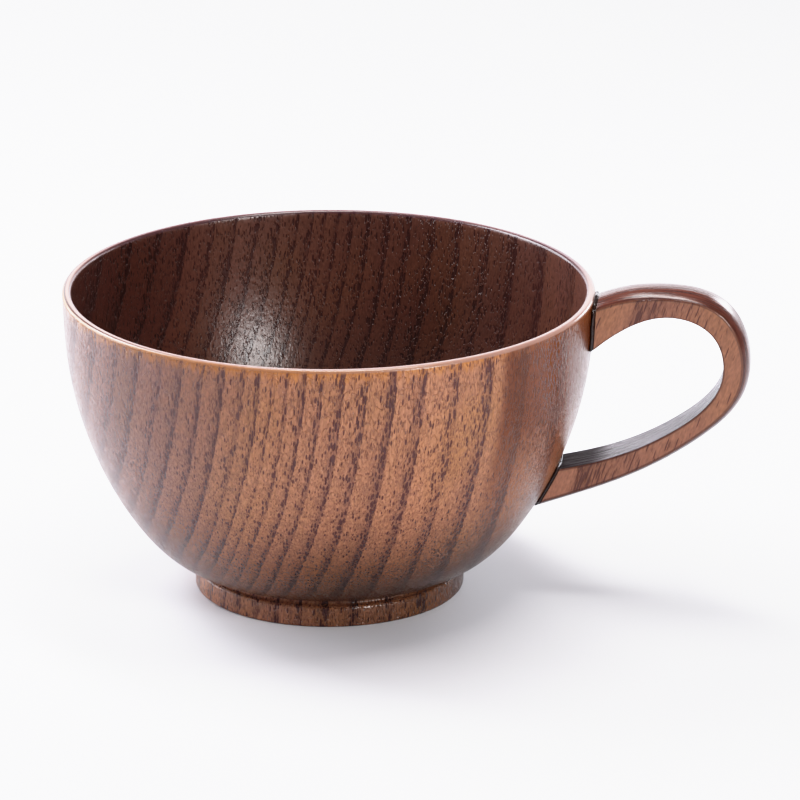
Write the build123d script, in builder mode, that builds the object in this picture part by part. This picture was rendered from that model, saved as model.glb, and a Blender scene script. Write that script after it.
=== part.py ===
from build123d import *
import os

# A turned wooden cup with a strap handle glued to its wall.
# The origin is the centre of the foot ring's underside. +Z is up along the
# turning axis, and +X points to the handle. All sizes are in millimetres.

# Bowl
rim_radius = 56.0
height = 65.7
rim_width = 2.0
rim_rounding = 0.75
floor_height = 10.5

# Foot ring, turned in one with the bowl
foot_radius = 28.6
foot_inner_radius = 24.0
foot_height = 4.7
foot_rounding = 0.6
foot_shoulder = 0.9
groove_radius = 27.4
groove_height = 5.9
recess_depth = 3.2
recess_rounding = 1.5

# Handle
handle_width = 10.2
handle_crown = 1.4
handle_edge = 0.3

# Glue
glue_thickness = 0.9
glue_bulge = 0.3
upper_glue_foot = 55.3

# Half profile of the outer wall, from the groove up to the rim
wall_points = [
    (28.3, groove_height),
    (32.9, 7.8),
    (41.8, 16.5),
    (49.8, 31.1),
    (55.0, 50.4),
    (rim_radius, height),
]
wall_tangents = [(1, 0.25), (0.04, 1)]

# Half profile of the hollow, from the rim down to the middle of the floor
hollow_points = [
    (rim_radius - rim_width, height),
    (51.9, 47.0),
    (46.4, 30.8),
    (37.0, 19.0),
    (20.5, 12.0),
    (0, floor_height),
]
hollow_tangents = [(-0.05, -1), (-1, 0)]

# Side view of the handle's outer edge and of its inner edge, both from the
# upper end to the lower end. The ends run into the wall and are cut to it.
outer_edge = [
    (52.0, 61.5),
    (61.6, 65.9),
    (71.0, 66.9),
    (82.8, 63.6),
    (86.7, 47.5),
    (78.6, 37.6),
    (62.8, 27.9),
    (43.2, 20.4),
]
inner_edge = [
    (52.0, 51.0),
    (60.7, 58.8),
    (72.3, 62.9),
    (81.1, 58.9),
    (83.0, 49.4),
    (73.2, 38.1),
    (59.5, 31.4),
    (45.0, 27.8),
]


def wall_core(growth):
    """The space inside the outer wall, made wider by growth, as a solid."""
    grown = [(r + growth, z) for r, z in wall_points]
    with BuildPart() as core:
        with BuildSketch(Plane.XZ):
            with BuildLine():
                Spline(*grown, tangents=wall_tangents)
                Polyline(grown[-1], (0, height), (0, groove_height), grown[0])
            make_face()
        revolve(axis=Axis.Z)
    return core.part


def moved_square(points, distance):
    """The points of a spline, each moved square to it and away from the eye."""
    curve = Spline(*points)
    moved = []
    for x, z in points:
        tangent = curve.tangent_at(curve.param_at_point((x, z)))
        moved.append((x - distance * tangent.Y, z + distance * tangent.X))
    return moved


def strap(growth):
    """The whole strap, run on into the wall, with every side moved out by growth."""
    half_width = handle_width / 2 + growth
    inner = moved_square(inner_edge, -growth)
    with BuildPart() as body:
        for offset, crown in ((half_width, 0), (0, handle_crown), (-half_width, 0)):
            outer = moved_square(outer_edge, growth + crown)
            with BuildSketch(Plane.XZ.offset(offset)):
                with BuildLine():
                    Spline(*outer)
                    Line(outer[-1], inner[-1])
                    Spline(*inner)
                    Line(inner[0], outer[0])
                make_face()
        loft()
    return body.part


bowl_core = wall_core(0)
glued_core = wall_core(glue_thickness)

with BuildPart() as bowl:
    with BuildSketch(Plane.XZ):
        with BuildLine():
            Spline(*wall_points, tangents=wall_tangents)
            Line(wall_points[-1], hollow_points[0])
            Spline(*hollow_points, tangents=hollow_tangents)
            Polyline(
                hollow_points[-1],
                (0, recess_depth),
                (foot_inner_radius, recess_depth),
                (foot_inner_radius, 0),
                (foot_radius, 0),
                (foot_radius, foot_height - foot_shoulder),
            )
            shoulder_top = (foot_radius - foot_shoulder, foot_height)
            RadiusArc((foot_radius, foot_height - foot_shoulder), shoulder_top, foot_shoulder)
            groove_floor = (groove_radius, (foot_height + groove_height) / 2)
            ThreePointArc(shoulder_top, groove_floor, wall_points[0])
        make_face()
    revolve(axis=Axis.Z)
    rim_edges = bowl.edges().filter_by(GeomType.CIRCLE).group_by(Axis.Z)[-1]
    fillet(rim_edges, radius=rim_rounding)
    foot_edges = bowl.edges().filter_by(GeomType.CIRCLE).group_by(Axis.Z)[0]
    fillet(foot_edges, radius=foot_rounding)
    recess_edge = bowl.edges().filter_by_position(Axis.Z, recess_depth, recess_depth)
    fillet(recess_edge, radius=recess_rounding)
bowl.part.label = "bowl"

bare_strap = strap(0)
glue_outline = strap(glue_bulge)

with BuildPart() as handle:
    add(bare_strap)
    long_edges = handle.edges().filter_by(lambda edge: edge.length > handle_width * 3)
    fillet(long_edges, radius=handle_edge)
    add(glued_core, mode=Mode.SUBTRACT)
handle.part.label = "handle"

with BuildPart() as upper_glue_bead:
    add(glued_core)
    add(glue_outline, mode=Mode.INTERSECT)
    add(bowl_core, mode=Mode.SUBTRACT)
    split(bisect_by=Plane.XY.offset(upper_glue_foot), keep=Keep.TOP)
upper_glue_bead.part.label = "upper_glue_bead"

with BuildPart() as lower_glue_bead:
    add(glued_core)
    add(glue_outline, mode=Mode.INTERSECT)
    add(bowl_core, mode=Mode.SUBTRACT)
    split(bisect_by=Plane.XY.offset(height / 2), keep=Keep.BOTTOM)
lower_glue_bead.part.label = "lower_glue_bead"

os.makedirs("parts", exist_ok=True)
export_step(bowl.part, "parts/bowl.step")
export_step(handle.part, "parts/handle.step")
export_step(upper_glue_bead.part, "parts/upper_glue_bead.step")
export_step(lower_glue_bead.part, "parts/lower_glue_bead.step")
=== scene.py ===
import math

import bpy
import numpy as np
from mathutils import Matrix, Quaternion, Vector, noise


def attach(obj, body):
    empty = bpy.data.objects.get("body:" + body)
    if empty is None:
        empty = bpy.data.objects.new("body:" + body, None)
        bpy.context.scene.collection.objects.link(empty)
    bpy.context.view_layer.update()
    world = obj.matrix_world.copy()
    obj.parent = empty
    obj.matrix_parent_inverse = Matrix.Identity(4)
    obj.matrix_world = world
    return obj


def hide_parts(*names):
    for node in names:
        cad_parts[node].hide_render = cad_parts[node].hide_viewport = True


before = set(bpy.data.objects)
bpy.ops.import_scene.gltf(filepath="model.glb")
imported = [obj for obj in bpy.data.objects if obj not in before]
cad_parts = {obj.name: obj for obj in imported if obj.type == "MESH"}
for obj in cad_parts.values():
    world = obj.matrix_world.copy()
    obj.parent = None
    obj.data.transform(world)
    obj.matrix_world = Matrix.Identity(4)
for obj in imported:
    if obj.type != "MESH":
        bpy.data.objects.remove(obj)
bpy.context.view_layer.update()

# A turned wooden cup with a glued strap handle. Its lengths are in millimetres, in the row frame:
# the origin is the centre of the foot's underside, +Z is up and +X points to the handle. Meshes are
# scaled to metres as they are made. The places and sizes of the lights and the floor are in metres.
MM = 0.001
# A hair less across, because these finer curves would reach just past the CAD's own facets
SNUG = 0.9998

# Bowl: half profiles as (radius, height), and their directions at both ends
WALL = [(28.3, 5.9), (32.9, 7.8), (41.8, 16.5), (49.8, 31.1), (55.0, 50.4), (56.0, 65.7)]
WALL_ENDS = ((1, 0.25), (0.04, 1))
HOLLOW = [(54.0, 65.7), (51.9, 47.0), (46.4, 30.8), (37.0, 19.0), (20.5, 12.0), (0, 10.5)]
HOLLOW_ENDS = ((-0.05, -1), (-1, 0))
RIM_ROUNDING = 0.75
FOOT_RADIUS = 28.6
FOOT_INNER_RADIUS = 24.0
FOOT_HEIGHT = 4.7
FOOT_ROUNDING = 0.6
FOOT_SHOULDER = 0.9
GROOVE_RADIUS = 27.4
RECESS_DEPTH = 3.2
RECESS_ROUNDING = 1.5

# Handle: side outlines as (x, z), from the upper end to the lower end
OUTER_EDGE = [(52.0, 61.5), (61.6, 65.9), (71.0, 66.9), (82.8, 63.6),
              (86.7, 47.5), (78.6, 37.6), (62.8, 27.9), (43.2, 20.4)]
INNER_EDGE = [(52.0, 51.0), (60.7, 58.8), (72.3, 62.9), (81.1, 58.9),
              (83.0, 49.4), (73.2, 38.1), (59.5, 31.4), (45.0, 27.8)]
HANDLE_WIDTH = 10.2
HANDLE_CROWN = 1.4
CROWN_SHAPE = 2.9
HANDLE_ROUNDING = 0.35

# Glue: its thickness, how far it is squeezed out on average and at least, how far its skin is tucked
# back under the handle's edge, and the drops that stand out, as places and widths
GLUE_THICKNESS = 0.9
GLUE_SQUEEZE = 0.42
GLUE_LEAST = 0.12
GLUE_TUCK = 0.10
GLUE_LUMP_SCALE = 0.8
GLUE_GRIT_SCALE = 2.1
DROP_REACH = 0.55
UPPER_DROPS = [((56.6, -4.9, 62.6), 1.5), ((56.3, -5.1, 60.0), 1.3), ((55.9, -5.1, 55.2), 0.9)]
LOWER_DROPS = [((50.6, -5.1, 29.6), 1.5), ((49.6, -5.1, 27.2), 0.9), ((47.2, -5.1, 22.8), 0.8)]

# Camera and lights turn with the view: azimuth 0 is in front of the cup, and 90 is beyond its handle
AIM = (14.6, 4.2, 39.6)
CAMERA_AZIMUTH = 6.22
CAMERA_ELEVATION = 18.92
CAMERA_ROLL = 0.08
CAMERA_DISTANCE = 1164.9
CAMERA_LENS = 247.5

# The picture's tone curve, as levels of light and of picture. After a small toe it is nearly
# straight, and then it eases off to white.
TONE = [(0, 0), (0.02, 0.010), (0.05, 0.035), (0.1, 0.083), (0.2, 0.190), (0.35, 0.355), (0.6, 0.61),
        (0.75, 0.735), (0.9, 0.83), (1.1, 0.905), (1.5, 0.945), (3.0, 0.965)]


# ---------------------------------------------------------------- outlines
def end_slope(chord, knots, at):
    """The slope, at an end, of the cubic through the four points nearest to it."""
    return np.array([np.polyval(np.polyder(np.polyfit(chord, knots[:, k], 3)), at) for k in (0, 1)])


def spline_slopes(chord, knots, first, last):
    """The slope at each point of the cubic spline that has these slopes at its ends."""
    count = len(knots)
    step = np.diff(chord)
    matrix = np.zeros((count, count))
    right = np.zeros((count, 2))
    matrix[0, 0] = matrix[-1, -1] = 1
    right[0], right[-1] = first, last
    for i in range(1, count - 1):
        before, after = step[i - 1], step[i]
        matrix[i, i - 1:i + 2] = (after, 2 * (before + after), before)
        right[i] = 3 * (after * (knots[i] - knots[i - 1]) / before
                        + before * (knots[i + 1] - knots[i]) / after)
    return np.linalg.solve(matrix, right)


def smooth_line(points, ends, count):
    """A smooth line through the points, as count points evenly spaced along it."""
    knots = np.array(points, float)
    chord = np.r_[0, np.cumsum(np.hypot(*np.diff(knots, axis=0).T))]
    if ends is None:
        first = end_slope(chord[:4], knots[:4], chord[0])
        last = end_slope(chord[-4:], knots[-4:], chord[-1])
    else:
        first, last = (np.array(e, float) / np.hypot(*e) for e in ends)
    slopes = spline_slopes(chord, knots, first, last)
    at = np.linspace(0, chord[-1], count * 4)
    i = np.clip(np.searchsorted(chord, at) - 1, 0, len(chord) - 2)
    span = (chord[i + 1] - chord[i])[:, None]
    t = (at - chord[i])[:, None] / span
    curve = ((1 + 2 * t) * (1 - t) ** 2 * knots[i] + t * (1 - t) ** 2 * span * slopes[i]
             + t * t * (3 - 2 * t) * knots[i + 1] + t * t * (t - 1) * span * slopes[i + 1])
    length = np.r_[0, np.cumsum(np.hypot(*np.diff(curve, axis=0).T))]
    even = np.linspace(0, length[-1], count)
    return np.stack([np.interp(even, length, curve[:, k]) for k in (0, 1)], axis=1)


def arc(centre, radius, start, end, count=7):
    """Points on an arc between two angles in degrees."""
    angles = np.radians(np.linspace(start, end, count))
    return np.stack([centre[0] + radius * np.cos(angles), centre[1] + radius * np.sin(angles)], axis=1)


def three_point_arc(a, b, c, count=9):
    """Points on the arc from a through b to c."""
    (ax, ay), (bx, by), (cx, cy) = a, b, c
    scale = 2 * (ax * (by - cy) + bx * (cy - ay) + cx * (ay - by))
    squares = [x * x + y * y for x, y in (a, b, c)]
    ux = (squares[0] * (by - cy) + squares[1] * (cy - ay) + squares[2] * (ay - by)) / scale
    uy = (squares[0] * (cx - bx) + squares[1] * (ax - cx) + squares[2] * (bx - ax)) / scale
    angles = np.unwrap([math.atan2(y - uy, x - ux) for x, y in (a, b, c)])
    start, _, end = np.degrees(angles)
    return arc((ux, uy), math.hypot(ax - ux, ay - uy), start, end, count)


wall_line = smooth_line(WALL, WALL_ENDS, 300)


def wall_radius(z):
    """The outer wall's radius at a height."""
    return np.interp(z, wall_line[:, 1], wall_line[:, 0])


def bowl_profile():
    """The half profile from near the middle of the floor, up the hollow, over the rim and down to
    the foot and its recess, with each point's share of being inside the hollow."""
    top = WALL[-1][1] - RIM_ROUNDING
    hollow = smooth_line(HOLLOW, HOLLOW_ENDS, 90)[::-1]
    inside = hollow[(hollow[:, 1] < top) & (hollow[:, 0] > 0.3)]
    lip_in = arc((HOLLOW[0][0] + RIM_ROUNDING, top), RIM_ROUNDING, 180, 90, 9)
    lip_out = arc((wall_radius(top) - RIM_ROUNDING, top), RIM_ROUNDING, 90, 0, 9)
    outside = wall_line[::3][wall_line[::3, 1] < top - 0.1][::-1]
    shoulder_top = (FOOT_RADIUS - FOOT_SHOULDER, FOOT_HEIGHT)
    groove_floor = (GROOVE_RADIUS, (FOOT_HEIGHT + WALL[0][1]) / 2)
    groove = three_point_arc(WALL[0], groove_floor, shoulder_top)[1:]
    shoulder = arc((shoulder_top[0], FOOT_HEIGHT - FOOT_SHOULDER), FOOT_SHOULDER, 90, 0)[1:]
    toe = arc((FOOT_RADIUS - FOOT_ROUNDING, FOOT_ROUNDING), FOOT_ROUNDING, 0, -90)
    heel = arc((FOOT_INNER_RADIUS + FOOT_ROUNDING, FOOT_ROUNDING), FOOT_ROUNDING, -90, -180)
    corner_x, corner_z = FOOT_INNER_RADIUS - RECESS_ROUNDING, RECESS_DEPTH - RECESS_ROUNDING
    corner = arc((corner_x, corner_z), RECESS_ROUNDING, 0, 90)
    recess = [(r, RECESS_DEPTH) for r in np.linspace(corner_x, 1, 14)[1:]]
    outer = np.concatenate([lip_out, outside, groove, shoulder, toe, heel, corner, recess])
    profile = np.concatenate([inside, lip_in, outer])
    share = np.concatenate([np.ones(len(inside)), np.linspace(1, 0, len(lip_in)), np.zeros(len(outer))])
    return profile, share


# ------------------------------------------------------------------ meshes
def make_piece(name, vertices, faces, material, node, sharp_angle):
    """A smooth mesh piece that rides on the cup and stands for a CAD node."""
    mesh = bpy.data.meshes.new(name)
    places = np.asarray(vertices, float) * (SNUG * MM, SNUG * MM, MM)
    mesh.from_pydata(places.tolist(), [], faces)
    piece = bpy.data.objects.new(name, mesh)
    bpy.context.scene.collection.objects.link(piece)
    mesh.materials.append(material)
    mesh.polygons.foreach_set("use_smooth", [True] * len(mesh.polygons))
    mesh.set_sharp_from_angle(angle=math.radians(sharp_angle))
    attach(piece, "root")
    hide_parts(node)
    return piece


def mark(piece, name, values):
    """One number for each of a piece's vertices, which its material can read."""
    attribute = piece.data.attributes.new(name, "FLOAT", "POINT")
    attribute.data.foreach_set("value", np.asarray(values, np.float32).ravel())


def make_bowl(material, turns=320):
    """The bowl as a lathe mesh, closed by a pole in the hollow and another under the foot."""
    profile, share = bowl_profile()
    angles = np.arange(turns) * 2 * math.pi / turns
    vertices = [(r * math.cos(a), r * math.sin(a), z) for r, z in profile for a in angles]
    faces = []
    for i in range(len(profile) - 1):
        for k in range(turns):
            after = (k + 1) % turns
            here, below = i * turns, (i + 1) * turns
            faces.append((here + k, below + k, below + after, here + after))
    floor_pole, foot_pole = len(vertices), len(vertices) + 1
    vertices += [(0, 0, HOLLOW[-1][1]), (0, 0, RECESS_DEPTH)]
    last = (len(profile) - 1) * turns
    for k in range(turns):
        after = (k + 1) % turns
        faces.append((floor_pole, k, after))
        faces.append((foot_pole, last + after, last + k))
    bowl = make_piece("turned_bowl", vertices, faces, material, "bowl", 60)
    mark(bowl, "inside", [*np.repeat(share, turns), 1, 0])


def strap_section(thickness):
    """Once round the strap's section, as (y, height, share of crown, edge mark, band mark). The band
    mark is 1 on the outer face, -1 on the inner face and 0 on the two flat sides."""
    half, r = HANDLE_WIDTH / 2, HANDLE_ROUNDING
    face = np.sin(np.linspace(-0.5, 0.5, 17)[1:-1] * math.pi) * (half - r)
    side = r + (thickness - 2 * r) * np.array([0.04, 0.12, 0.35, 0.65, 0.88, 0.96])
    bend = np.linspace(0, 1, 6)

    def corner(a, b, c):
        a, b, c = (np.array(p, float) for p in (a, b, c))
        t = bend[:, None]
        return (1 - t) ** 2 * a + 2 * t * (1 - t) * b + t ** 2 * c

    low = [(y, h, 0, 1, t - 1) for (y, h), t in zip(corner((half - r, 0), (half, 0), (half, r)), bend)]
    high = corner((half, thickness - r), (half, thickness), (half - r, thickness))
    high = [(y, h, t, 1, t) for (y, h), t in zip(high, bend)]
    right = [*low, *((half, h, 0, 0, 0) for h in side), *high]
    left = [(-y, *rest) for y, *rest in reversed(right)]
    inner = [(y, 0, 0, 0, -1) for y in face]
    outer = [(y, thickness, 1, 0, 1) for y in face[::-1]]
    return inner + right + outer + left


def strap_lines(count=420):
    """The strap run on into the wall, as stations x section points x (x, y, z)."""
    outer = smooth_line(OUTER_EDGE, None, count)
    inner = smooth_line(INNER_EDGE, None, count)
    along = np.gradient(outer, axis=0)
    along /= np.hypot(*along.T)[:, None]
    out = np.stack([-along[:, 1], along[:, 0]], axis=1)
    stations = []
    for a, b, n in zip(inner, outer, out):
        thickness = np.hypot(*(b - a))
        across = (b - a) / thickness
        station = []
        for y, h, share, _, _ in strap_section(thickness):
            crown = HANDLE_CROWN * share * (1 - abs(2 * y / HANDLE_WIDTH) ** CROWN_SHAPE)
            x, z = a + across * h + n * crown
            station.append((x, y, z))
        stations.append(station)
    return np.array(stations)


def cut_to_wall(lines, steps=170):
    """Each lengthwise line of the strap, from one crossing of the glued wall to the other."""
    outside = np.hypot(lines[..., 0], lines[..., 1]) - wall_radius(lines[..., 2]) - GLUE_THICKNESS
    along = np.arange(len(lines))
    cut = []
    for j in range(lines.shape[1]):
        clear = np.nonzero(outside[:, j] > 0)[0]
        first, last = clear[0], clear[-1]
        start = first - outside[first, j] / (outside[first, j] - outside[first - 1, j])
        end = last + outside[last, j] / (outside[last, j] - outside[last + 1, j])
        at = np.linspace(start, end, steps)
        cut.append(np.stack([np.interp(at, along, lines[:, j, k]) for k in range(3)], axis=1))
    return np.array(cut).transpose(1, 0, 2)


def tube_faces(stations, around):
    """The faces of a tube of stations, closed at both ends."""
    faces = []
    for i in range(stations - 1):
        for j in range(around):
            after = (j + 1) % around
            here, onward = i * around, (i + 1) * around
            faces.append((here + j, here + after, onward + after, onward + j))
    faces.append(tuple(reversed(range(around))))
    faces.append(tuple(range((stations - 1) * around, stations * around)))
    return faces


def make_handle(material):
    """Makes the handle. Returns its two end loops, each running the way its glue's faces need."""
    grid = cut_to_wall(strap_lines())
    steps, around, _ = grid.shape
    handle = make_piece("strap_handle", grid.reshape(-1, 3), tube_faces(steps, around),
                        material, "handle", 35)
    *_, edge, band = zip(*strap_section(1))
    mark(handle, "edge", np.tile(edge, steps))
    mark(handle, "band", np.tile(band, steps))
    middle = grid.mean(axis=1)
    run = np.r_[0, np.cumsum(np.linalg.norm(np.diff(middle, axis=0), axis=1))]
    mark(handle, "run", np.repeat(run, around))
    return grid[0], grid[-1, ::-1]


def make_glue(name, node, loop, material, seed, drops, layers=13):
    """The glue between the wall and a handle end, squeezed out unevenly round its edge.
    loop is the handle's end, which lies a glue's thickness off the wall. Each of the drops is a
    place and the width of a drop that stands out there, and seed moves the random lumps."""
    middle = loop.mean(axis=0)
    vertices = []
    for k in range(layers):
        share = k / (layers - 1)
        bulge = math.sin(math.pi * min(1, share + 0.12)) ** 0.6
        for point in loop:
            away = point - middle
            away[0] = 0
            away /= np.linalg.norm(away)
            lumps = noise.noise(Vector(point * GLUE_LUMP_SCALE) + Vector((seed, 0, 0)))
            grit = noise.noise(Vector(point * GLUE_GRIT_SCALE) + Vector((0, seed, share)))
            reach = GLUE_SQUEEZE * (0.7 + 1.9 * lumps + 0.8 * grit)
            for drop, width in drops:
                near = np.linalg.norm(point - drop) / width
                reach += DROP_REACH * width * math.exp(-near * near)
            place = point + away * (max(reach, GLUE_LEAST) * bulge - GLUE_TUCK)
            radius = wall_radius(place[2]) + GLUE_THICKNESS * share
            place[:2] *= radius / np.hypot(*place[:2])
            vertices.append(place)
    make_piece(name, vertices, tube_faces(layers, len(loop)), material, node, 60)


# --------------------------------------------------------------- materials
LACQUER_IOR = 1.44


class Tree:
    """A material's nodes, made by short calls. A socket, a number or a tuple can feed an input."""

    def __init__(self, name):
        self.material = bpy.data.materials.new(name)
        self.material.use_nodes = True
        self.nodes = self.material.node_tree.nodes
        self.links = self.material.node_tree.links
        self.shader = self.nodes["Principled BSDF"]

    def feed(self, socket, value):
        if isinstance(value, bpy.types.NodeSocket):
            self.links.new(value, socket)
        elif isinstance(value, tuple) and len(socket.default_value) == 4:
            socket.default_value = (*value, 1)
        elif value is not None:
            socket.default_value = value

    def node(self, kind, inputs=(), **settings):
        made = self.nodes.new(kind)
        for key, value in settings.items():
            setattr(made, key, value)
        for socket, value in zip(made.inputs, inputs):
            self.feed(socket, value)
        return made

    def math(self, operation, *values):
        return self.node("ShaderNodeMath", values, operation=operation).outputs[0]

    def place(self):
        """The point being shaded, in millimetres."""
        return self.mapped(self.node("ShaderNodeTexCoord").outputs["Object"], scale=(1 / MM,) * 3)

    def from_axis(self, place):
        """A place's distance from its z axis."""
        flat = self.node("ShaderNodeVectorMath", (place, (1, 1, 0)), operation="MULTIPLY").outputs[0]
        return self.node("ShaderNodeVectorMath", (flat,), operation="LENGTH").outputs[1]

    def mapped(self, vector, location=(0, 0, 0), rotation=(0, 0, 0), scale=(1, 1, 1)):
        return self.node("ShaderNodeMapping", (vector, location, rotation, scale)).outputs[0]

    def noise(self, vector, scale, detail=2.0, roughness=0.5):
        """Noise over a vector that is first scaled by a number for each axis. It varies round 0.5."""
        made = self.node("ShaderNodeTexNoise")
        self.feed(made.inputs["Vector"], self.mapped(vector, scale=scale))
        self.feed(made.inputs["Scale"], 1.0)
        self.feed(made.inputs["Detail"], detail)
        self.feed(made.inputs["Roughness"], roughness)
        return made.outputs[0]

    def cells(self, vector, scale):
        """Distance to the nearest of a random set of points, and two random numbers for that point."""
        made = self.node("ShaderNodeTexVoronoi")
        self.feed(made.inputs["Vector"], self.mapped(vector, scale=scale))
        self.feed(made.inputs["Scale"], 1.0)
        parts = self.node("ShaderNodeSeparateColor", (made.outputs["Color"],))
        return made.outputs["Distance"], parts.outputs[0], parts.outputs[1]

    def ramp(self, value, stops):
        """A grey level that follows (place, level) stops."""
        made = self.node("ShaderNodeValToRGB", (value,))
        elements = made.color_ramp.elements
        while len(elements) < len(stops):
            elements.new(0.5)
        for element, (place, level) in zip(elements, stops):
            element.position = place
            element.color = (level, level, level, 1)
        return made.outputs[0]

    def curve(self, value, points):
        """A smooth curve through the points, which lie in the unit square."""
        made = self.node("ShaderNodeFloatCurve")
        self.feed(made.inputs["Value"], value)
        line = made.mapping.curves[0]
        line.points[0].location, line.points[-1].location = points[0], points[-1]
        for x, y in points[1:-1]:
            line.points.new(x, y)
        made.mapping.update()
        return made.outputs[0]

    def span(self, value, low, high, to_low=0.0, to_high=1.0, smooth=False):
        """value carried from low..high to to_low..to_high, and held at its ends."""
        kind = "SMOOTHSTEP" if smooth else "LINEAR"
        inputs = (value, low, high, to_low, to_high)
        return self.node("ShaderNodeMapRange", inputs, interpolation_type=kind).outputs[0]

    def mix(self, share, a, b, blend="MIX"):
        made = self.node("ShaderNodeMix", data_type="RGBA", blend_type=blend)
        for socket, value in zip((made.inputs[0], made.inputs[6], made.inputs[7]), (share, a, b)):
            self.feed(socket, value)
        return made.outputs[2]

    def tint(self, colour, factors, share=1.0):
        """colour with its channels multiplied by the factors, wholly or in part."""
        return self.mix(share, colour, factors, "MULTIPLY")

    def grey(self, value):
        return self.node("ShaderNodeCombineColor", (value, value, value)).outputs[0]

    def attribute(self, name):
        return self.node("ShaderNodeAttribute", attribute_name=name).outputs["Fac"]

    def finish(self, colour, roughness, height, depth):
        """Colour, roughness and a bump of this depth, fed to the shader."""
        bump = self.node("ShaderNodeBump")
        self.feed(bump.inputs["Height"], height)
        self.feed(bump.inputs["Distance"], depth * MM)
        self.feed(self.shader.inputs["Base Color"], colour)
        self.feed(self.shader.inputs["Roughness"], roughness)
        self.feed(self.shader.inputs["IOR"], LACQUER_IOR)
        self.feed(self.shader.inputs["Normal"], bump.outputs[0])
        return self.material


# Colours of the wood itself
LATEWOOD = (0.338, 0.146, 0.077)
EARLYWOOD = (0.130, 0.050, 0.036)
GOLDEN = (0.335, 0.145, 0.046)
VESSEL = (0.048, 0.012, 0.014)

# Early wood across one growth ring, as (share of the ring, share of early wood)
EARLY_STOPS = [(0.0, 0.9), (0.08, 1.0), (0.20, 0.68), (0.36, 0.30),
               (0.62, 0.08), (0.955, 0.0), (1.0, 0.9)]
# The rings' sways in and out: how far, noise scale and detail
RING_SWAYS = [(1.5, (0.05, 0.05, 0.02), 1.0), (0.7, (0.8, 0.8, 0.22), 2.0)]

# Colours laid on the bowl's wood, most of them painted light and shade. A tint multiplies the colour
# under it, and the others are laid over it. In a pair, the first is for the side away from the handle.
# The hollow's darker colour is painted shade; towards the rim painted light lifts it, and away from the
# handle more painted shade deepens it
HOLLOW_SHADE_TINT = (0.29, 0.26, 0.33)
HOLLOW_SHADE = (0.066, 0.027, 0.018)
HOLLOW_RIM_LIGHT_TINT = (1.28, 1.42, 1.60)
HOLLOW_SIDE_SHADE_TINT = (0.46, 0.40, 0.40)
FURROW = (0.135, 0.055, 0.040)
# Heartwood, darkened further as painted shade
HEART_AND_SHADE_TINT = (0.36, 0.19, 0.05)
HEART_AND_SHADE = (0.100, 0.024, 0.003)
# Painted sheen: away from the handle the wall is painted duller and bluer
FAR_SIDE_SHEEN_TINT = (0.62, 0.68, 0.95)
FAR_SIDE_SHEEN = (0.150, 0.068, 0.054)
# Painted light: a brighter golden band just under the rim
RIM_BAND_LIGHT_TINT = (1.24, 1.06, 0.60)
RIM_BAND_LIGHT = (0.42, 0.165, 0.045)
RIM_INNER_CORNER = (0.10, 0.045, 0.045)
# The pale land is a painted highlight, the dark line painted shade, and the corner colours and darker
# back painted light and shade
RIM_LAND_HIGHLIGHT = (0.33, 0.195, 0.17)
RIM_SHADE_LINE = (0.03, 0.012, 0.012)
RIM_CORNER_AWAY = (0.29, 0.13, 0.05)
RIM_CORNER_MIDDLE = (0.27, 0.125, 0.065)
RIM_CORNER_HANDLE = (0.27, 0.155, 0.125)
RIM_BACK_SHADE_TINT = (0.42, 0.38, 0.50)
# Painted light on the foot, which lifts most of the painted low shade again
FOOT_SHADE_LIFTS = (2.1, 2.5, 3.2), (1.9, 2.3, 3.2)
# Painted shade low on the wall, partly a darker finish, deepest towards the handle
LOW_SHADE_TINTS = (0.48, 0.40, 0.31), (0.21, 0.17, 0.12)
BOWL_RELIEF = 0.14

# Distance outwards from the bowl's axis, away from the pith, and the number of growth rings there.
# The datum is how far the axis lies from the pith.
BOWL_RINGS = [(-57.0, -1.0), (-29.4, 1.0), (-11.4, 3.0), (2.1, 5.0), (12.0, 7.0),
              (21.9, 10.0), (29.4, 13.0), (39.3, 16.0), (50.4, 19.2), (60.0, 22.0)]
BOWL_PITH = (89.74, 1.31, 0.0)
BOWL_FIBRE = (0.0762, 0.0013, 1.0)
BOWL_DATUM = 89.49
BOWL_VESSEL_SHARE = 0.22
BOWL_VESSEL_SIZE = (0.56, 2.4)

# Colours of the handle. In a pair, the first is for the pores and the second for the wood between.
HANDLE_TINT = (0.80, 0.82, 0.95)
HANDLE_STAIN = (0.240, 0.105, 0.065)
OUTER_FACE = (0.045, 0.014, 0.010), (0.100, 0.033, 0.022)
# The inner face's pale streaks are a painted reflection, and its darker ends a painted dark reflection
# of the wall
INNER_FACE_REFLECTION = (0.034, 0.019, 0.022), (0.31, 0.275, 0.32)
INNER_END_REFLECTION = (0.020, 0.012, 0.014)
HANDLE_EDGE = (0.05, 0.018, 0.014)
HANDLE_RELIEF = 0.08

# Distance outwards from a datum that is this far from the pith, and the number of rings there
HANDLE_RINGS = [(-60.0, 0.0), (3.6, 1.96), (4.6, 2.0), (8.0, 2.22), (60.0, 2.94)]
HANDLE_PITH = (-60.0, 0.0, 0.0)
HANDLE_FIBRE = (0.300, 0.0, 0.954)
HANDLE_DATUM = 95.0
HANDLE_VESSEL_SHARE = 0.02
HANDLE_VESSEL_SIZE = (0.36, 4.5)
# How far along the strap its bend is, and how far from there its inner face starts and ends darkening
# with a painted dark reflection of the wall
BEND_RUN = 42.0
DARKENING = (31.0, 39.0)

# The glue and the floor are mottled from a darker to a paler colour
GLUE_COLOURS = (0.006, 0.004, 0.004), (0.030, 0.015, 0.012)
GLUE_RELIEF = 0.3
FLOOR_COLOURS = (0.66, 0.66, 0.69), (0.68, 0.68, 0.71)
FLOOR_ROUGHNESS = 0.6
FLOOR_RELIEF = 0.1


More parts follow.
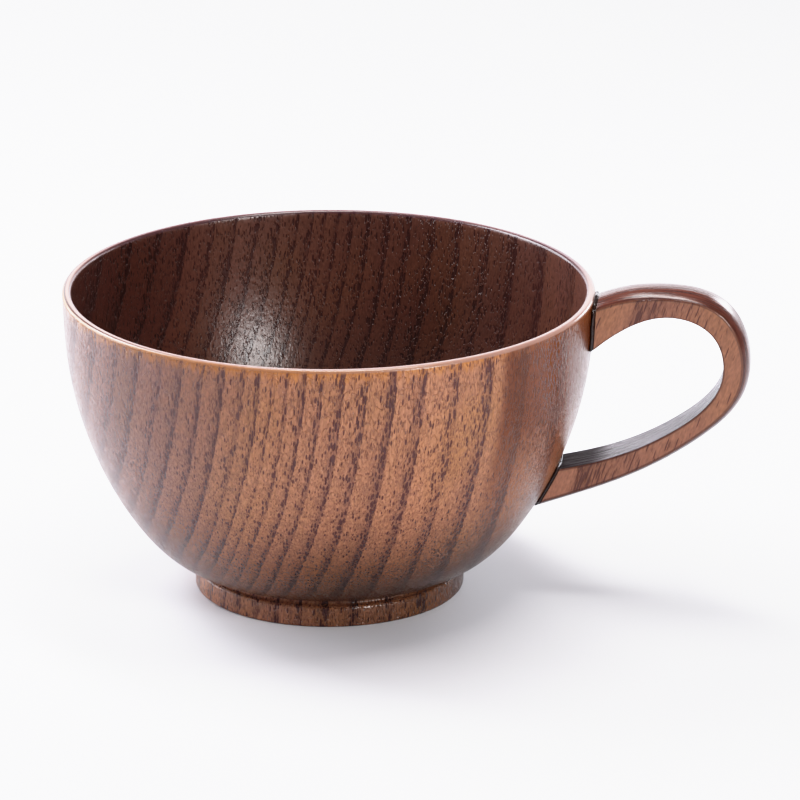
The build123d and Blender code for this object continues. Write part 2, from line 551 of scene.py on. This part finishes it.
def growth_rings(tree, solid, datum, rings):
    """The distance out from the datum, the share of early wood and a random tone for each ring."""
    radius = tree.from_axis(solid)
    for size, scale, detail in RING_SWAYS:
        sway = tree.math("SUBTRACT", tree.noise(solid, scale, detail), 0.5)
        radius = tree.math("ADD", radius, tree.math("MULTIPLY", sway, size))
    out = tree.math("SUBTRACT", radius, datum)

    (q_low, n_low), (q_high, n_high) = rings[0], rings[-1]
    share = tree.span(out, q_low, q_high)
    unit = [((q - q_low) / (q_high - q_low), (n - n_low) / (n_high - n_low)) for q, n in rings]
    number = tree.math("MULTIPLY", tree.curve(share, unit), n_high - n_low)
    whole = tree.node("ShaderNodeTexWhiteNoise", noise_dimensions="1D")
    tree.feed(whole.inputs["W"], tree.math("FLOOR", number))
    ring_tone = whole.outputs["Value"]
    early = tree.ramp(tree.math("FRACT", number), EARLY_STOPS)
    early = tree.math("MULTIPLY", early, tree.span(ring_tone, 0, 1, 0.7, 1.0))
    return out, early, ring_tone


def vessel_layer(tree, solid, scale, chosen, width, variety, blur, strength):
    """Vessels as cells in the solid. scale is the number of cells to a millimetre on each axis,
    chosen is the share of cells that are vessels, and width times its variety is their size."""
    gap, kind, size = tree.cells(solid, scale)
    edge = tree.math("MULTIPLY", width, tree.span(size, 0, 1, *variety))
    vessel = tree.span(tree.math("SUBTRACT", edge, gap), *blur, 0, strength, True)
    return tree.math("MULTIPLY", vessel, tree.math("LESS_THAN", kind, chosen))


def all_vessels(tree, solid, early, vessels, vessel_size):
    """Wide vessels, fine ones between them, and blots where early wood crowds them together."""
    across, along = vessel_size
    wide = vessel_layer(tree, solid, (1 / across, 1 / across, 1 / along),
                        tree.span(early, 0, 0.7, vessels, 0.97),
                        tree.span(early, 0, 1, 0.30, 0.52), (0.7, 1.2), (-0.05, 0.07), 1)
    fine = vessel_layer(tree, solid, (1.7 / across, 1.7 / across, 2.0 / along),
                        tree.span(early, 0, 0.7, vessels * 1.5, 0.95),
                        0.36, (1, 1), (-0.06, 0.10), 0.7)
    blots = vessel_layer(tree, solid, (0.62 / across, 0.62 / across, 1.1 / along),
                         tree.span(early, 0.5, 0.9, 0, 0.6),
                         1, (0.30, 0.5), (-0.07, 0.07), 0.95)
    return tree.math("MAXIMUM", tree.math("MAXIMUM", wide, fine), blots)


def wood(tree, pith, fibre, datum, rings, vessels, vessel_size):
    """Ring-porous wood in the solid. Growth rings lie round the pith, and vessels run along the
    fibre, so a cut along them shows dashes and a cut across them shows dots. vessels is the share
    of vessels between the ring lines, and vessel_size is their spacing across and their length.
    Returns the wood's colour, its height, a fine wavy pattern, its share of vessel and its distance
    out from the datum, which is a distance from the pith."""
    turn = Vector(fibre).rotation_difference(Vector((0, 0, 1))).to_matrix()
    solid = tree.mapped(tree.place(), tuple(turn @ -Vector(pith)), tuple(turn.to_euler()))
    out, early, ring_tone = growth_rings(tree, solid, datum, rings)
    vessel = all_vessels(tree, solid, early, vessels, vessel_size)

    streaks = tree.noise(solid, (3.0, 3.0, 0.12), 3.0, 0.6)
    worms = tree.noise(solid, (2.6, 2.6, 0.9), 1.0)
    clouds = tree.noise(solid, (0.07, 0.07, 0.035), 2.0)
    colour = tree.mix(tree.math("MULTIPLY", early, 0.72), LATEWOOD, EARLYWOOD)
    colour = tree.mix(tree.span(clouds, 0.45, 0.75, 0.0, 0.5), colour, GOLDEN)
    for pattern, low, high in ((streaks, 0.84, 1.14), (worms, 0.74, 1.17)):
        colour = tree.tint(colour, tree.grey(tree.span(pattern, 0.28, 0.72, low, high)))
    colour = tree.tint(colour, tree.grey(tree.span(ring_tone, 0, 1, 1.05, 0.93)))
    colour = tree.mix(tree.math("MULTIPLY", vessel, 0.88), colour, VESSEL)

    peel = tree.noise(solid, (1.2, 1.2, 0.9), 1.0)
    height = tree.math("MULTIPLY", vessel, -1.0)
    for pattern, size in ((peel, 0.30), (streaks, 0.2)):
        height = tree.math("ADD", height, tree.math("MULTIPLY", pattern, size))
    return colour, height, worms, vessel, out


def hollow_colour(tree, colour, x, z):
    """Painted shade darkens the hollow and evens its wood out. Painted light lifts it towards the rim,
    and the painted shade is deepest on the side away from the handle."""
    colour = tree.mix(0.38, tree.tint(colour, HOLLOW_SHADE_TINT), HOLLOW_SHADE)
    colour = tree.tint(colour, HOLLOW_RIM_LIGHT_TINT, tree.span(z, 35, 66))
    return tree.tint(colour, HOLLOW_SIDE_SHADE_TINT, tree.span(x, -24, -50, 0, 1, True))


def rim_colour(tree, x, y, radius):
    """The turned rim: a dark inner corner, a pale land that is painted highlight and a golden outer
    corner whose colour changes round the rim as painted light. Away from the handle a line of painted
    shade lies between the last two, and the back is painted darker as shade."""
    away = tree.span(x, -45, -12, 1.0, 0.0, True)
    corner = tree.mix(tree.span(x, 0, 40), RIM_CORNER_MIDDLE, RIM_CORNER_HANDLE)
    corner = tree.mix(away, corner, RIM_CORNER_AWAY)
    rim = tree.mix(tree.span(radius, 54.4, 54.7), RIM_INNER_CORNER, RIM_LAND_HIGHLIGHT)
    rim = tree.mix(tree.span(radius, 55.3, 55.7), rim, corner)
    from_line = tree.math("ABSOLUTE", tree.math("SUBTRACT", radius, 55.4))
    line = tree.span(from_line, 0.1, 0.3, 0.9, 0)
    rim = tree.mix(tree.math("MULTIPLY", line, away), rim, RIM_SHADE_LINE)
    return tree.tint(rim, RIM_BACK_SHADE_TINT, tree.span(y, 0, 30, 0, 1, True))


def lit_rim_band(tree, place, z, vessel, in_heart_and_shade):
    """The share of painted light in a brighter band just under the rim, with an uneven lower edge."""
    band_noise = tree.noise(place, (0.9, 0.9, 0.22), 3.0, 0.6)
    band_edge = tree.math("ADD", z, tree.span(band_noise, 0.3, 0.7, -1.8, 1.4))
    band = tree.span(band_edge, 62.4, 65.2, 0, 0.85, True)
    band = tree.math("MULTIPLY", band, tree.span(vessel, 0, 1, 1.0, 0.3))
    return tree.math("MULTIPLY", band, tree.span(in_heart_and_shade, 0, 1, 1, 0.3))


def bowl_wood():
    tree = Tree("bowl_wood")
    colour, height, worms, vessel, out = wood(tree, BOWL_PITH, BOWL_FIBRE, BOWL_DATUM, BOWL_RINGS,
                                              BOWL_VESSEL_SHARE, BOWL_VESSEL_SIZE)
    place = tree.place()
    x, y, z = tree.node("ShaderNodeSeparateXYZ", (place,)).outputs
    inside = tree.attribute("inside")
    inner = hollow_colour(tree, colour, x, z)
    # outside, fine wavy furrows run over the whole wall
    ripple = tree.noise(place, (1.15, 1.15, 0.52), 1.5)
    from_furrow = tree.math("ABSOLUTE", tree.math("SUBTRACT", ripple, 0.5))
    furrow = tree.span(from_furrow, 0.0, 0.055, 1, 0, True)
    furrow = tree.math("MULTIPLY", furrow, tree.span(inside, 0, 1, 1, 0))
    colour = tree.mix(tree.math("MULTIPLY", furrow, 0.36), colour, FURROW)
    # towards the pith the wall is a deeper golden brown: heartwood, darkened further as painted shade.
    # Away from the handle the wall is painted duller and bluer, as painted sheen
    in_heart_and_shade = tree.math("MULTIPLY", tree.span(out, -25, -20.5, 1, 0, True),
                         tree.span(z, 26, 48, 0.25, 1))
    outer = tree.mix(in_heart_and_shade, colour, tree.mix(0.6, tree.tint(colour, HEART_AND_SHADE_TINT), HEART_AND_SHADE))
    # painted sheen: away from the handle the wall is painted duller and bluer
    far_side_sheen = tree.mix(0.4, tree.tint(outer, FAR_SIDE_SHEEN_TINT), FAR_SIDE_SHEEN)
    outer = tree.mix(tree.span(out, 24, 50), outer, far_side_sheen)
    # painted light: a brighter golden orange band just under the rim
    golden = tree.mix(0.45, tree.tint(outer, RIM_BAND_LIGHT_TINT), RIM_BAND_LIGHT)
    outer = tree.mix(lit_rim_band(tree, place, z, vessel, in_heart_and_shade), outer, golden)
    # painted light on the foot: it lifts the painted low shade again, nearly all of it away from the
    # handle and part of it towards it
    foot_shade_lift = tree.mix(tree.span(x, -26, -10), *FOOT_SHADE_LIFTS)
    outer = tree.tint(outer, foot_shade_lift, tree.span(z, 5.5, 7.5, 1, 0, True))
    # painted shade low on the wall, most of all towards the handle, with a little darker finish in it
    low_shade_tint = tree.mix(tree.span(x, -15, 12, 0, 1, True), *LOW_SHADE_TINTS)
    outer = tree.tint(outer, low_shade_tint, tree.span(z, 8, 36, 1.0, 0, True))
    on_rim = tree.span(z, 64.9, 65.3, 0, 0.9, True)
    rim = rim_colour(tree, x, y, tree.from_axis(place))
    colour = tree.mix(on_rim, tree.mix(inside, outer, inner), rim)
    # the wavy pattern and the furrows stand in relief, less so inside, on the rim and in the heart
    waves = tree.math("MULTIPLY", worms, tree.span(inside, 0, 1, 0.6, 0.15))
    height = tree.math("SUBTRACT", tree.math("ADD", height, waves), tree.math("MULTIPLY", furrow, 0.9))
    height = tree.math("MULTIPLY", height, tree.span(z, 64.8, 65.4, 1, 0.05))
    height = tree.math("MULTIPLY", height, tree.span(in_heart_and_shade, 0, 1, 1, 0.45))
    return tree.finish(colour, tree.span(inside, 0, 1, 0.20, 0.26), height, BOWL_RELIEF)


def handle_wood():
    """The flat sides show the wood. The crowned outer face is darker, and the inner face carries a
    painted pale reflection that turns to a painted dark reflection of the wall near its ends.
    """
    tree = Tree("handle_wood")
    colour, height, *_ = wood(tree, HANDLE_PITH, HANDLE_FIBRE, HANDLE_DATUM, HANDLE_RINGS,
                              HANDLE_VESSEL_SHARE, HANDLE_VESSEL_SIZE)
    band, edge, run = (tree.attribute(name) for name in ("band", "edge", "run"))
    y = tree.node("ShaderNodeSeparateXYZ", (tree.place(),)).outputs[1]
    strap = tree.node("ShaderNodeCombineXYZ", (y, run, 0)).outputs[0]
    streaks = tree.noise(strap, (1.6, 0.10, 1), 4.0, 0.6)
    clear_of_pores = tree.span(streaks, 0.38, 0.62, 0, 1, True)
    from_bend = tree.math("ABSOLUTE", tree.math("SUBTRACT", run, BEND_RUN))
    ends = tree.span(from_bend, *DARKENING, 0, 0.9, True)
    # the inner face's pale streaks are a painted reflection, and towards its ends it takes a painted
    # dark reflection of the wall
    inner = tree.mix(ends, tree.mix(clear_of_pores, *INNER_FACE_REFLECTION), INNER_END_REFLECTION)
    colour = tree.mix(0.2, tree.tint(colour, HANDLE_TINT), HANDLE_STAIN)
    outer = tree.mix(clear_of_pores, *OUTER_FACE)
    colour = tree.mix(tree.span(band, 0.3, 0.9), colour, outer)
    on_inner = tree.span(band, -0.3, -0.9)
    colour = tree.mix(on_inner, colour, inner)
    colour = tree.mix(tree.math("MULTIPLY", edge, 0.6), colour, HANDLE_EDGE)
    # the inner face is the most deeply grooved, and its ends the least glossy
    on_band = tree.math("MINIMUM", tree.math("ABSOLUTE", band), 1.0)
    grooves = tree.math("MULTIPLY", streaks, tree.span(band, -0.9, 0.9, 6.0, 1.0))
    height = tree.mix(on_band, tree.grey(height), tree.grey(grooves))
    band_roughness = tree.math("MULTIPLY", on_band, tree.span(streaks, 0.35, 0.65, 0.30, 0.12))
    roughness = tree.math("MAXIMUM", tree.span(on_band, 0, 1, 0.30, 0.0), band_roughness)
    dull_ends = tree.math("MULTIPLY", tree.math("MULTIPLY", on_inner, 0.5), ends)
    return tree.finish(colour, tree.math("ADD", roughness, dull_ends), height, HANDLE_RELIEF)


def dark_glue():
    tree = Tree("dark_glue")
    lumps = tree.noise(tree.place(), (0.7, 0.7, 0.7), 3.0)
    colour = tree.mix(lumps, *GLUE_COLOURS)
    return tree.finish(colour, tree.span(lumps, 0.3, 0.7, 0.05, 0.22), lumps, GLUE_RELIEF)


def floor_sheet():
    tree = Tree("floor_sheet")
    mottle = tree.noise(tree.place(), (0.004, 0.004, 0.004), 3.0)
    return tree.finish(tree.mix(mottle, *FLOOR_COLOURS), FLOOR_ROUGHNESS, mottle, FLOOR_RELIEF)


# -------------------------------------------------------------------- cup
make_bowl(bowl_wood())
upper_end, lower_end = make_handle(handle_wood())
glue = dark_glue()
make_glue("upper_glue", "upper_glue_bead", upper_end, glue, 3.1, UPPER_DROPS)
make_glue("lower_glue", "lower_glue_bead", lower_end, glue, 7.7, LOWER_DROPS)


# ------------------------------------------------------------------ studio
def direction(azimuth, elevation):
    """The unit vector towards an azimuth and an elevation in degrees."""
    a, e = math.radians(azimuth), math.radians(elevation)
    return Vector((math.sin(a) * math.cos(e), -math.cos(a) * math.cos(e), math.sin(e)))


def softbox(name, place, aim, size, radiance, tint=(1, 1, 1), roll=0):
    """A rectangular light at a place, facing its aim. size is (width, height); all is in metres."""
    data = bpy.data.lights.new(name, "AREA")
    data.shape = "RECTANGLE"
    data.size, data.size_y = size
    data.energy = radiance * math.pi * size[0] * size[1]
    data.color = tint
    light = bpy.data.objects.new(name, data)
    bpy.context.scene.collection.objects.link(light)
    light.location = place
    facing = (Vector(place) - Vector(aim)).to_track_quat("Z", "Y")
    light.rotation_euler = (facing @ Quaternion((0, 0, 1), math.radians(roll))).to_euler()
    light.visible_camera = False


COOL = (0.94, 0.94, 1.0)
WORLD_COLOUR = (0.98, 0.95, 1.0)
WORLD_STRENGTH = 0.28
FLOOR_REACH = 6
# The floor lies a hair under the foot, so that the two faces don't fight
FLOOR_LEVEL = -0.00002

middle = Vector((0, 0, 0.035))
softbox("key", middle + direction(46, 22), middle, (0.26, 0.32), 29.0)
softbox("key_halo", middle + direction(46, 18) * 1.02, middle, (0.50, 0.52), 1.0)
softbox("overhead", middle + direction(141, 81) * 0.7, middle, (0.6, 0.14), 20.5, roll=-7)
softbox("backdrop", middle + direction(180, 10) * 1.4, middle, (2.8, 0.6), 2.7, COOL)
softbox("left_side", middle + direction(-111, 20) * 0.9, middle, (0.82, 0.5), 8.2, COOL)
softbox("left_floor", (-0.30, 0.12, 0.35), (-0.15, 0.03, 0), (0.2, 0.2), 20.0, COOL)
softbox("right_floor", (0.22, 0.29, 0.15), (0.14, 0.16, 0), (0.1, 0.1), 13.0, COOL)

world = bpy.data.worlds.new("studio")
world.use_nodes = True
background = world.node_tree.nodes["Background"]
background.inputs["Color"].default_value = (*WORLD_COLOUR, 1)
background.inputs["Strength"].default_value = WORLD_STRENGTH
bpy.context.scene.world = world

floor_mesh = bpy.data.meshes.new("floor")
floor_corners = [(x * FLOOR_REACH, y * FLOOR_REACH, 0) for x, y in ((-1, -1), (1, -1), (1, 1), (-1, 1))]
floor_mesh.from_pydata(floor_corners, [], [(0, 1, 2, 3)])
floor_mesh.materials.append(floor_sheet())
floor = bpy.data.objects.new("floor", floor_mesh)
floor.location.z = FLOOR_LEVEL
bpy.context.scene.collection.objects.link(floor)

camera = bpy.data.objects.new("camera", bpy.data.cameras.new("camera"))
bpy.context.scene.collection.objects.link(camera)
camera.data.lens = CAMERA_LENS
camera.data.clip_start = 0.05
camera_side = direction(CAMERA_AZIMUTH, CAMERA_ELEVATION)
camera.location = (Vector(AIM) + camera_side * CAMERA_DISTANCE) * MM
camera_turn = camera_side.to_track_quat("Z", "Y") @ Quaternion((0, 0, 1), math.radians(CAMERA_ROLL))
camera.rotation_euler = camera_turn.to_euler()
bpy.context.scene.camera = camera
view = bpy.context.scene.view_settings
view.view_transform = "Standard"
view.use_curve_mapping = True
tone = view.curve_mapping
tone.white_level = (TONE[-1][0],) * 3
tone.extend = "HORIZONTAL"
tone_line = tone.curves[3]
tone_line.points[0].location = (0, 0)
tone_line.points[-1].location = (1, TONE[-1][1])
for light_level, shown_level in TONE[1:-1]:
    tone_line.points.new(light_level / TONE[-1][0], shown_level)
tone.update()
